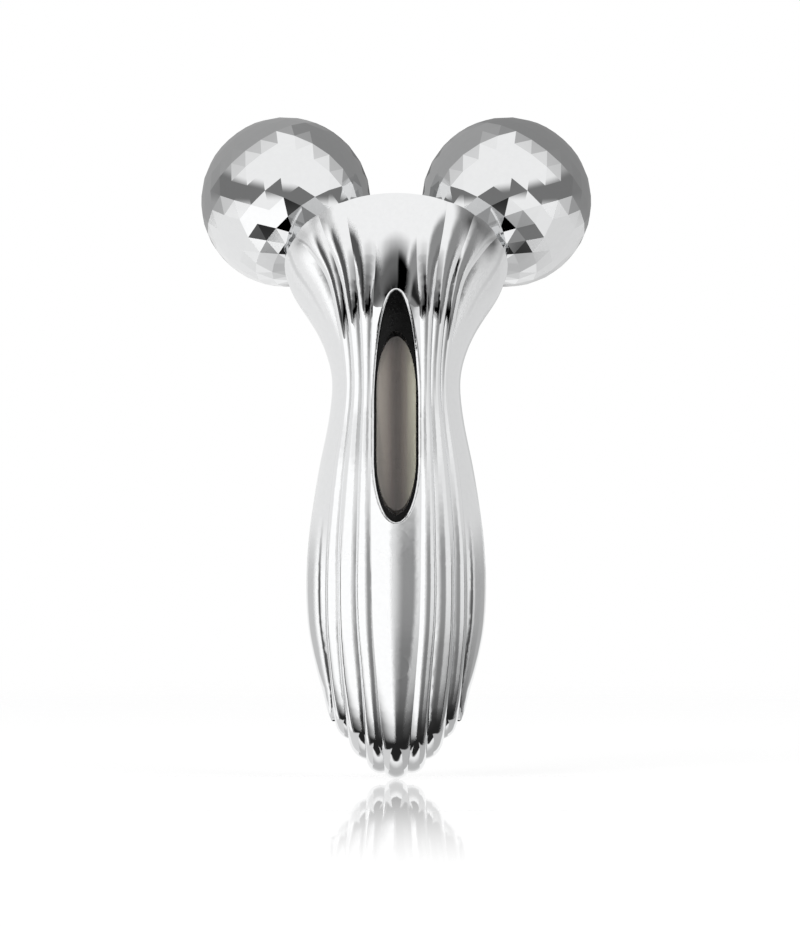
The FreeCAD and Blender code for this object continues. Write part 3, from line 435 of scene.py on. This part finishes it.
# Grey walls at the back, darker above, with a dark strip straight behind
above_edge = (SHADOW_RING_SLANT, ANY_SLANT)
wall("back_left_low", (-150, -100), 0.62, (12, 14), (-0.1, 0.09), (0.01, 0.03), slants=above_edge)
wall("back_left", (-180, -105), 0.67, (1, 14), (0.02, 0.08), (0.06, 0.03))
wall("back_left_middle", (-180, -100), 0.90, (1, 14), (0.05, 0.125), (0.03, 0.03))
wall("back_left_high", (-184, -65), 0.38, (8, 45), (0.10, BACK_WALL_TOP), (0.03, 0.5), nearer=0.001)
wall("back_right_low", (90, 150), 0.46, (10, 12), (-0.1, 0.09), (0.01, 0.03), slants=above_edge)
wall("back_right", (92, 180), 0.46, (10, 1), (0.02, 0.08), (0.06, 0.03))
wall("back_right_middle", (92, 180), 0.62, (10, 1), (0.05, 0.125), (0.03, 0.03))
wall("back_right_high", (65, 188), 0.27, (45, 2), (0.10, BACK_WALL_TOP), (0.03, 0.5))
wall("back_dark_strip", (166, 194), 0.06, (8, 8), (0.01, 0.20), (0.05, 0.05), nearer=0.002)

# The pale table under the floor, with a dark ring and a dark front round the tip that are painted shadow of
# the floor, seen only in reflections
table_heights = (WALL_FOOT, TABLE_TOP_HEIGHT)
table_soft = (HARD, 0.01)
below_edge = (-ANY_SLANT, SHADOW_RING_SLANT)
wall("table_left", (-132, -10), 0.75, (6, 40), table_heights, table_soft, nearer=0.006, slants=below_edge)
wall("table_right", (-20, 132), 0.52, (40, 6), table_heights, table_soft, nearer=0.006, slants=below_edge)
# Painted shadow: a dark ring round the tip, standing for the floor's shade under the object in its
# reflections
wall(
    "floor_shadow_ring", (-104, 104), 0.02, (24, 24), (WALL_FOOT, TABLE_TOP_HEIGHT + 0.02), table_soft, nearer=0.008,
    slants=(SHADOW_RING_SLANT - 0.012, SHADOW_RING_SLANT + 0.16), soft_slants=(0.012, 0.14),
)
level_card(
    "table_top", WALL_FOOT + 0.001, 0.55, (-FAR_SIDE, FAR_SIDE), (HARD, HARD),
    (FRONT_SHADOW_LINE - 0.006, TABLE_BACK), (0.08, 0.36),
)
# Painted shadow: a dark card in front of the tip, standing for the floor's shade in the tip's reflections
level_card(
    "floor_shadow_front", WALL_FOOT + 0.002, 0.02, (-FAR_SIDE, FAR_SIDE), (HARD, HARD),
    (-FAR_SIDE, FRONT_SHADOW_LINE), (HARD, 0.012),
)

# Under the head: white in the middle, grey flags at both sides and black ones in front.
# Each has its rise over the flags' height, its level, and its x and y with their soft edges.
head_cards = (
    ("head_card", -0.004, 1.05, (-0.050, 0.046), (0.015, 0.015), (-0.105, -0.030), (0.01, 0.01)),
    ("right_near_flag", 0, 0.30, (0.028, 0.08), (0.016, 0.012), (-FAR_SIDE, -0.030), (0.05, 0.020)),
    ("right_far_flag", 0.001, 0.20, (0.06, FAR_SIDE), (0.014, 0.05), (-FAR_SIDE, -0.034), (0.05, 0.012)),
    ("right_black_flag", 0.002, 0.02, (0.05, 0.10), (0.01, 0.01), (-0.096, -0.076), (0.006, 0.01)),
    ("left_flag", 0, 0.10, (-FAR_SIDE, -0.034), (0.05, 0.022), (-FAR_SIDE, -0.036), (0.05, 0.012)),
    ("left_black_flag", 0.002, 0.03, (-0.088, -0.048), (0.01, 0.012), (-0.084, -0.062), (0.005, 0.016)),
    ("middle_black_flag", 0.002, 0.0, (0.002, 0.05), (0.006, 0.02), (-0.125, -0.082), (0.02, 0.006)),
    ("front_grey_flag", 0.001, 0.15, (-0.065, 0.034), (0.012, 0.012), (-FAR_SIDE, -0.072), (0.03, 0.018)),
    ("front_black_flag", 0.003, 0.0, (-0.052, 0.024), (0.01, 0.012), (-0.118, -0.088), (0.01, 0.012)),
)
for card_name, rise, card_level, *edges in head_cards:
    level_card(card_name, NECK_FLAG_HEIGHT + rise, card_level, *edges)

# White dishes under the balls and beside the neck
dish_heights = (DISH_FOOT, WALL_TOP)
wall("left_dish", (-152, -66), 0.92, (20, 12), dish_heights, (0.03, 0.012), lean=DISH_LEAN)
wall("right_dish", (66, 152), 0.78, (12, 20), dish_heights, (0.03, 0.012), lean=DISH_LEAN)

# A dark band in front of the balls, darkest in the middle
wall("ball_band", (-112, 112), 0.20, (18, 18), (0.138, 0.162), (0.003, 0.003), BALL_BAND_INSET)
wall(
    "ball_band_middle", (-20, 20), 0.02, (6, 6), (0.085, 0.158), (0.045, 0.003), BALL_BAND_INSET - 0.008,
)


def floor_finish():
    """White, clear towards its edge, with a mirror sheen at a low angle in front of the object."""
    material, tree, links = new_material("pale_floor")
    tree.remove(tree["Principled BSDF"])
    where = tree.new("ShaderNodeTexCoord")
    split = tree.new("ShaderNodeSeparateXYZ")
    links.new(where.outputs["Object"], split.inputs["Vector"])
    ahead = smooth_step(tree, links, split.outputs["Y"], SHEEN_START, 0.0)
    behind = smooth_step(tree, links, split.outputs["Y"], SHEEN_END, SHEEN_END - SHEEN_FADE)
    left = smooth_step(tree, links, split.outputs["X"], -SHEEN_HALF_WIDTH, SHEEN_SIDE_FADE - SHEEN_HALF_WIDTH)
    right = smooth_step(tree, links, split.outputs["X"], SHEEN_HALF_WIDTH, SHEEN_HALF_WIDTH - SHEEN_SIDE_FADE)
    grazing = tree.new("ShaderNodeFresnel")
    grazing.inputs["IOR"].default_value = SHEEN_IOR
    steep = tree.new("ShaderNodeMath")
    steep.operation = "POWER"
    steep.inputs[1].default_value = SHEEN_POWER
    links.new(grazing.outputs["Fac"], steep.inputs[0])
    strong = spread(tree, links, steep.outputs["Value"], 0, SHEEN_STRENGTH)
    sheen = multiply(tree, links, multiply(tree, links, ahead, behind), strong)
    sheen = multiply(tree, links, sheen, multiply(tree, links, left, right))
    matt = tree.new("ShaderNodeBsdfDiffuse")
    matt.inputs["Color"].default_value = (FLOOR_WHITE, FLOOR_WHITE, FLOOR_WHITE, 1)
    glow = tree.new("ShaderNodeEmission")
    glow.inputs["Strength"].default_value = FLOOR_GLOW
    base = tree.new("ShaderNodeAddShader")
    links.new(matt.outputs["BSDF"], base.inputs[0])
    links.new(glow.outputs["Emission"], base.inputs[1])
    mirror = tree.new("ShaderNodeBsdfGlossy")
    mirror.inputs["Color"].default_value = (1, 1, 1, 1)
    mirror.inputs["Roughness"].default_value = SHEEN_ROUGHNESS
    polished = tree.new("ShaderNodeMixShader")
    links.new(sheen, polished.inputs["Fac"])
    links.new(base.outputs["Shader"], polished.inputs[1])
    links.new(mirror.outputs["BSDF"], polished.inputs[2])
    clear = tree.new("ShaderNodeBsdfTransparent")
    faded = tree.new("ShaderNodeMixShader")
    inner_share = smooth_step(tree, links, distance_from_axis(tree, links), FLOOR_RADIUS, FLOOR_RADIUS / 2)
    links.new(inner_share, faded.inputs["Fac"])
    links.new(clear.outputs["BSDF"], faded.inputs[1])
    links.new(polished.outputs["Shader"], faded.inputs[2])
    links.new(faded.outputs["Shader"], tree["Material Output"].inputs["Surface"])
    return material


def make_floor():
    made = bmesh.new()
    bmesh.ops.create_circle(made, cap_ends=True, segments=64, radius=FLOOR_RADIUS)
    mesh = bpy.data.meshes.new("floor")
    made.to_mesh(mesh)
    made.free()
    mesh.materials.append(floor_finish())
    floor = new_object("floor", mesh)
    floor.visible_glossy = False


def make_world():
    """White where it is seen straight, in a mirror or through glass, and a plain level as light."""
    world = bpy.data.worlds.new("studio")
    bpy.context.scene.world = world
    world.use_nodes = True
    tree = world.node_tree.nodes
    links = world.node_tree.links
    path = tree.new("ShaderNodeLightPath")
    seen = tree.new("ShaderNodeMath")
    seen.operation = "MAXIMUM"
    links.new(path.outputs["Is Camera Ray"], seen.inputs[0])
    links.new(path.outputs["Is Glossy Ray"], seen.inputs[1])
    seen_too = tree.new("ShaderNodeMath")
    seen_too.operation = "MAXIMUM"
    links.new(seen.outputs["Value"], seen_too.inputs[0])
    links.new(path.outputs["Is Transmission Ray"], seen_too.inputs[1])
    level = tree.new("ShaderNodeMapRange")
    level.inputs["To Min"].default_value = WORLD_LIGHT
    level.inputs["To Max"].default_value = 1.0
    links.new(seen_too.outputs["Value"], level.inputs["Value"])
    background = tree["Background"]
    background.inputs["Color"].default_value = (1, 1, 1, 1)
    links.new(level.outputs["Result"], background.inputs["Strength"])


def make_lamp(name, place, watts):
    lamp = bpy.data.lights.new(name, "AREA")
    lamp.size = LAMP_SIZE
    lamp.energy = watts
    thing = bpy.data.objects.new(name, lamp)
    thing.location = place
    aim = LAMP_AIM - Vector(place)
    thing.rotation_euler = aim.to_track_quat("-Z", "Y").to_euler()
    thing.visible_glossy = False
    bpy.context.scene.collection.objects.link(thing)


def make_camera():
    camera = bpy.data.cameras.new("camera")
    camera.sensor_width = SENSOR
    camera.lens = SENSOR * CAMERA_DISTANCE / (IMAGE_HEIGHT * MM_PER_PIXEL * MM)
    camera.clip_start = 0.01
    thing = bpy.data.objects.new("camera", camera)
    thing.location = (CAMERA_X, -CAMERA_DISTANCE, CAMERA_HEIGHT)
    thing.rotation_euler = (math.radians(90), 0, 0)
    bpy.context.scene.collection.objects.link(thing)
    bpy.context.scene.camera = thing


make_floor()
make_world()
make_lamp("key_lamp", (-0.7, -0.9, 1.0), 8)
make_lamp("fill_lamp", (0.8, -0.6, 0.9), 5)
make_camera()
bpy.context.scene.view_settings.view_transform = "Standard"
